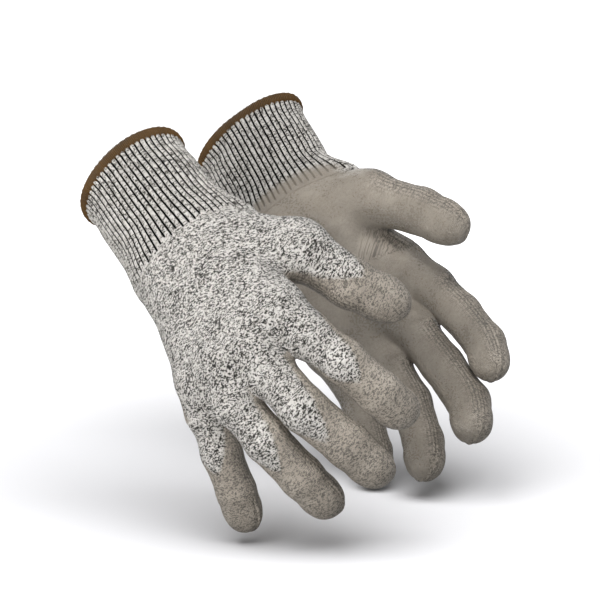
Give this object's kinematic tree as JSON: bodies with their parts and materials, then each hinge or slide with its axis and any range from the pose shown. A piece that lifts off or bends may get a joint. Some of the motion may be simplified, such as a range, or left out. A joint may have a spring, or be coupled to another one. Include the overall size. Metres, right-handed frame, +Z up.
{
  "type": "cut resistant work gloves",
  "caption": "Pair of knitted cut resistant gloves with coated palms and fingertips, ribbed elastic cuffs and overlocked hems.",
  "frame": {"origin": "middle of the pair of gloves, at the height of the lowest fingertip", "axes": "+Z up, +X from the little-finger side of the pair towards the fingertips, +Y from the right glove towards the left glove behind it"},
  "size_m": [0.2338, 0.279, 0.2047],
  "materials": {
    "knit": "melange knit, light grey and near-black yarns",
    "rib": "ribbed melange knit with dark channels",
    "hem": "overlock stitched thread, brown",
    "elastic": "covered elastic yarn",
    "coating": "satin taupe-grey dipped coating",
    "coated_knit": "satin taupe-grey dipped coating over knit"
  },
  "bodies": {
    "right_cuff": {"right_rib_cuff": "rib", "right_cuff_hem": "hem", "right_cuff_elastic": "elastic"},
    "right_hand": {"right_hand_knit": "knit", "right_palm_coating": "coating"},
    "right_front": {"right_knuckle_knit": "knit", "right_knuckle_coating": "coating"},
    "right_index_lower": {"right_index_lower_knit": "knit", "right_index_lower_coating": "coating"},
    "right_index_mid": {"right_index_middle": "coated_knit"},
    "right_index_end": {"right_index_tip": "coated_knit"},
    "right_middle_lower": {"right_middle_lower_knit": "knit", "right_middle_lower_coating": "coating"},
    "right_middle_mid": {"right_middle_middle": "coated_knit"},
    "right_middle_end": {"right_middle_tip": "coated_knit"},
    "right_ring_lower": {"right_ring_lower_knit": "knit", "right_ring_lower_coating": "coating"},
    "right_ring_mid": {"right_ring_middle": "coated_knit"},
    "right_ring_end": {"right_ring_tip": "coated_knit"},
    "right_little_lower": {"right_little_lower_knit": "knit", "right_little_lower_coating": "coating"},
    "right_little_mid": {"right_little_middle": "coated_knit"},
    "right_little_end": {"right_little_tip": "coated_knit"},
    "right_thumb_lower": {"right_thumb_lower_knit": "knit", "right_thumb_lower_coating": "coating"},
    "right_thumb_end": {"right_thumb_end": "coated_knit"},
    "left_cuff": {"left_rib_cuff": "rib", "left_cuff_hem": "hem", "left_cuff_elastic": "elastic"},
    "left_hand": {"left_hand_knit": "knit", "left_palm_coating": "coating"},
    "left_front": {"left_knuckle_knit": "knit", "left_knuckle_coating": "coating"},
    "left_index_lower": {"left_index_lower_knit": "knit", "left_index_lower_coating": "coating"},
    "left_index_mid": {"left_index_middle": "coated_knit"},
    "left_index_end": {"left_index_tip": "coated_knit"},
    "left_middle_lower": {"left_middle_lower_knit": "knit", "left_middle_lower_coating": "coating"},
    "left_middle_mid": {"left_middle_middle": "coated_knit"},
    "left_middle_end": {"left_middle_tip": "coated_knit"},
    "left_ring_lower": {"left_ring_lower_knit": "knit", "left_ring_lower_coating": "coating"},
    "left_ring_mid": {"left_ring_middle": "coated_knit"},
    "left_ring_end": {"left_ring_tip": "coated_knit"},
    "left_little_lower": {"left_little_lower_knit": "knit", "left_little_lower_coating": "coating"},
    "left_little_mid": {"left_little_middle": "coated_knit"},
    "left_little_end": {"left_little_tip": "coated_knit"},
    "left_thumb_lower": {"left_thumb_lower_knit": "knit", "left_thumb_lower_coating": "coating"},
    "left_thumb_end": {"left_thumb_end": "coated_knit"}
  },
  "joints": [
    {"name": "right_wrist_flex", "type": "hinge", "parent": "right_cuff", "child": "right_hand", "pos_m": [-0.05265, -0.06313, 0.13958], "axis": [0.7176, -0.0886, 0.6907], "range_deg": [-25, 25], "stiffness_Nm_per_rad": 0.8},
    {"name": "right_knuckle_fold", "type": "hinge", "parent": "right_hand", "child": "right_front", "pos_m": [-0.03173, -0.10873, 0.1054], "axis": [0.7816, -0.1835, 0.5962], "range_deg": [-30, 30], "stiffness_Nm_per_rad": 0.5},
    {"name": "right_index_root", "type": "hinge", "parent": "right_front", "child": "right_index_lower", "pos_m": [0.00545, -0.11573, 0.11308], "axis": [0.555, -0.0543, 0.8301], "range_deg": [-20, 15], "stiffness_Nm_per_rad": 0.12},
    {"name": "right_index_mid", "type": "hinge", "parent": "right_index_lower", "child": "right_index_mid", "pos_m": [0.02365, -0.12253, 0.10068], "axis": [0.6127, -0.0537, 0.7885], "range_deg": [-20, 55], "stiffness_Nm_per_rad": 0.08},
    {"name": "right_index_end", "type": "hinge", "parent": "right_index_mid", "child": "right_index_end", "pos_m": [0.04215, -0.12163, 0.08398], "axis": [0.6835, -0.0507, 0.7282], "range_deg": [-12, 33], "stiffness_Nm_per_rad": 0.05},
    {"name": "right_middle_root", "type": "hinge", "parent": "right_front", "child": "right_middle_lower", "pos_m": [-0.01425, -0.11963, 0.09488], "axis": [0.6952, -0.187, 0.6941], "range_deg": [-20, 15], "stiffness_Nm_per_rad": 0.12},
    {"name": "right_middle_mid", "type": "hinge", "parent": "right_middle_lower", "child": "right_middle_mid", "pos_m": [0.00305, -0.12793, 0.07738], "axis": [0.6451, -0.1872, 0.7408], "range_deg": [-20, 55], "stiffness_Nm_per_rad": 0.08},
    {"name": "right_middle_end", "type": "hinge", "parent": "right_middle_mid", "child": "right_middle_end", "pos_m": [0.02595, -0.12733, 0.05798], "axis": [0.6805, -0.1853, 0.7089], "range_deg": [-12, 33], "stiffness_Nm_per_rad": 0.05},
    {"name": "right_ring_root", "type": "hinge", "parent": "right_front", "child": "right_ring_lower", "pos_m": [-0.03155, -0.11713, 0.07758], "axis": [0.7721, -0.3077, 0.556], "range_deg": [-20, 15], "stiffness_Nm_per_rad": 0.12},
    {"name": "right_ring_mid", "type": "hinge", "parent": "right_ring_lower", "child": "right_ring_mid", "pos_m": [-0.01635, -0.12423, 0.06038], "axis": [0.6767, -0.307, 0.6692], "range_deg": [-20, 55], "stiffness_Nm_per_rad": 0.08},
    {"name": "right_ring_end", "type": "hinge", "parent": "right_ring_mid", "child": "right_ring_end", "pos_m": [0.00265, -0.12363, 0.03978], "axis": [0.7337, -0.3043, 0.6075], "range_deg": [-12, 33], "stiffness_Nm_per_rad": 0.05},
    {"name": "right_little_root", "type": "hinge", "parent": "right_front", "child": "right_little_lower", "pos_m": [-0.04615, -0.10283, 0.06788], "axis": [0.795, -0.5289, 0.2969], "range_deg": [-20, 15], "stiffness_Nm_per_rad": 0.12},
    {"name": "right_little_mid", "type": "hinge", "parent": "right_little_lower", "child": "right_little_mid", "pos_m": [-0.03945, -0.10853, 0.04988], "axis": [0.7701, -0.5279, 0.3583], "range_deg": [-20, 55], "stiffness_Nm_per_rad": 0.08},
    {"name": "right_little_end", "type": "hinge", "parent": "right_little_mid", "child": "right_little_end", "pos_m": [-0.03175, -0.10823, 0.02828], "axis": [0.827, -0.5259, 0.1986], "range_deg": [-12, 33], "stiffness_Nm_per_rad": 0.05},
    {"name": "right_thumb_base", "type": "hinge", "parent": "right_hand", "child": "right_thumb_lower", "pos_m": [0.00145, -0.08043, 0.15078], "axis": [0.2729, 0.019, 0.9618], "range_deg": [-20, 3], "stiffness_Nm_per_rad": 0.12},
    {"name": "right_thumb_tip", "type": "hinge", "parent": "right_thumb_lower", "child": "right_thumb_end", "pos_m": [0.02775, -0.08743, 0.13398], "axis": [0.4727, -0.0358, 0.8805], "range_deg": [-15, 25], "stiffness_Nm_per_rad": 0.06},
    {"name": "left_wrist_flex", "type": "hinge", "parent": "left_cuff", "child": "left_hand", "pos_m": [0.00195, 0.06387, 0.13578], "axis": [-0.7599, 0.0637, -0.6469], "range_deg": [-25, 25], "stiffness_Nm_per_rad": 0.8},
    {"name": "left_knuckle_fold", "type": "hinge", "parent": "left_hand", "child": "left_front", "pos_m": [0.03935, 0.04099, 0.08938], "axis": [-0.6963, 0.0283, -0.7172], "range_deg": [-30, 30], "stiffness_Nm_per_rad": 0.5},
    {"name": "left_index_root", "type": "hinge", "parent": "left_front", "child": "left_index_lower", "pos_m": [0.07625, 0.03717, 0.10638], "axis": [-0.5691, 0.0077, -0.8222], "range_deg": [-20, 15], "stiffness_Nm_per_rad": 0.12},
    {"name": "left_index_mid", "type": "hinge", "parent": "left_index_lower", "child": "left_index_mid", "pos_m": [0.09135, 0.02557, 0.09338], "axis": [-0.6433, 0.0665, -0.7627], "range_deg": [-20, 55], "stiffness_Nm_per_rad": 0.08},
    {"name": "left_index_end", "type": "hinge", "parent": "left_index_mid", "child": "left_index_end", "pos_m": [0.10405, 0.00857, 0.08038], "axis": [-0.6878, 0.1858, -0.7017], "range_deg": [-12, 33], "stiffness_Nm_per_rad": 0.05},
    {"name": "left_middle_root", "type": "hinge", "parent": "left_front", "child": "left_middle_lower", "pos_m": [0.06655, 0.03007, 0.08258], "axis": [-0.6604, -0.015, -0.7507], "range_deg": [-20, 15], "stiffness_Nm_per_rad": 0.12},
    {"name": "left_middle_mid", "type": "hinge", "parent": "left_middle_lower", "child": "left_middle_mid", "pos_m": [0.08125, 0.01657, 0.06588], "axis": [-0.7174, 0.0656, -0.6935], "range_deg": [-20, 55], "stiffness_Nm_per_rad": 0.08},
    {"name": "left_middle_end", "type": "hinge", "parent": "left_middle_mid", "child": "left_middle_end", "pos_m": [0.09435, -0.00563, 0.05048], "axis": [-0.7197, 0.1783, -0.671], "range_deg": [-12, 33], "stiffness_Nm_per_rad": 0.05},
    {"name": "left_ring_root", "type": "hinge", "parent": "left_front", "child": "left_ring_lower", "pos_m": [0.05205, 0.02887, 0.06268], "axis": [-0.7355, 0.0377, -0.6764], "range_deg": [-20, 15], "stiffness_Nm_per_rad": 0.12},
    {"name": "left_ring_mid", "type": "hinge", "parent": "left_ring_lower", "child": "left_ring_mid", "pos_m": [0.06325, 0.01677, 0.04518], "axis": [-0.7947, 0.1876, -0.5773], "range_deg": [-20, 55], "stiffness_Nm_per_rad": 0.08},
    {"name": "left_ring_end", "type": "hinge", "parent": "left_ring_mid", "child": "left_ring_end", "pos_m": [0.06975, -0.00383, 0.02738], "axis": [-0.7392, 0.3024, -0.6018], "range_deg": [-12, 33], "stiffness_Nm_per_rad": 0.05},
    {"name": "left_little_root", "type": "hinge", "parent": "left_front", "child": "left_little_lower", "pos_m": [0.03135, 0.03457, 0.05078], "axis": [-0.8328, 0.1119, -0.5422], "range_deg": [-20, 15], "stiffness_Nm_per_rad": 0.12},
    {"name": "left_little_mid", "type": "hinge", "parent": "left_little_lower", "child": "left_little_mid", "pos_m": [0.03745, 0.02537, 0.03418], "axis": [-0.8509, 0.2494, -0.4623], "range_deg": [-20, 55], "stiffness_Nm_per_rad": 0.08},
    {"name": "left_little_end", "type": "hinge", "parent": "left_little_mid", "child": "left_little_end", "pos_m": [0.04245, 0.01137, 0.01788], "axis": [-0.7917, 0.3267, -0.5162], "range_deg": [-12, 33], "stiffness_Nm_per_rad": 0.05},
    {"name": "left_thumb_base", "type": "hinge", "parent": "left_hand", "child": "left_thumb_lower", "pos_m": [0.04135, 0.04427, 0.15598], "axis": [0.1375, 0.1683, -0.9761], "range_deg": [-20, 3], "stiffness_Nm_per_rad": 0.12},
    {"name": "left_thumb_tip", "type": "hinge", "parent": "left_thumb_lower", "child": "left_thumb_end", "pos_m": [0.06865, 0.03037, 0.15118], "axis": [-0.0957, 0.2916, -0.9517], "range_deg": [-15, 25], "stiffness_Nm_per_rad": 0.06},
    {"name": "pair_spread", "type": "slide", "parent": "right_cuff", "child": "left_cuff", "axis": [1, 0, 0], "range_m": [0, 0.15]}
  ],
  "couplings": [
    {"joint": "right_index_end", "follows": "right_index_mid", "ratio": 0.6},
    {"joint": "right_middle_end", "follows": "right_middle_mid", "ratio": 0.6},
    {"joint": "right_ring_end", "follows": "right_ring_mid", "ratio": 0.6},
    {"joint": "right_little_end", "follows": "right_little_mid", "ratio": 0.6},
    {"joint": "left_index_end", "follows": "left_index_mid", "ratio": 0.6},
    {"joint": "left_middle_end", "follows": "left_middle_mid", "ratio": 0.6},
    {"joint": "left_ring_end", "follows": "left_ring_mid", "ratio": 0.6},
    {"joint": "left_little_end", "follows": "left_little_mid", "ratio": 0.6}
  ]
}
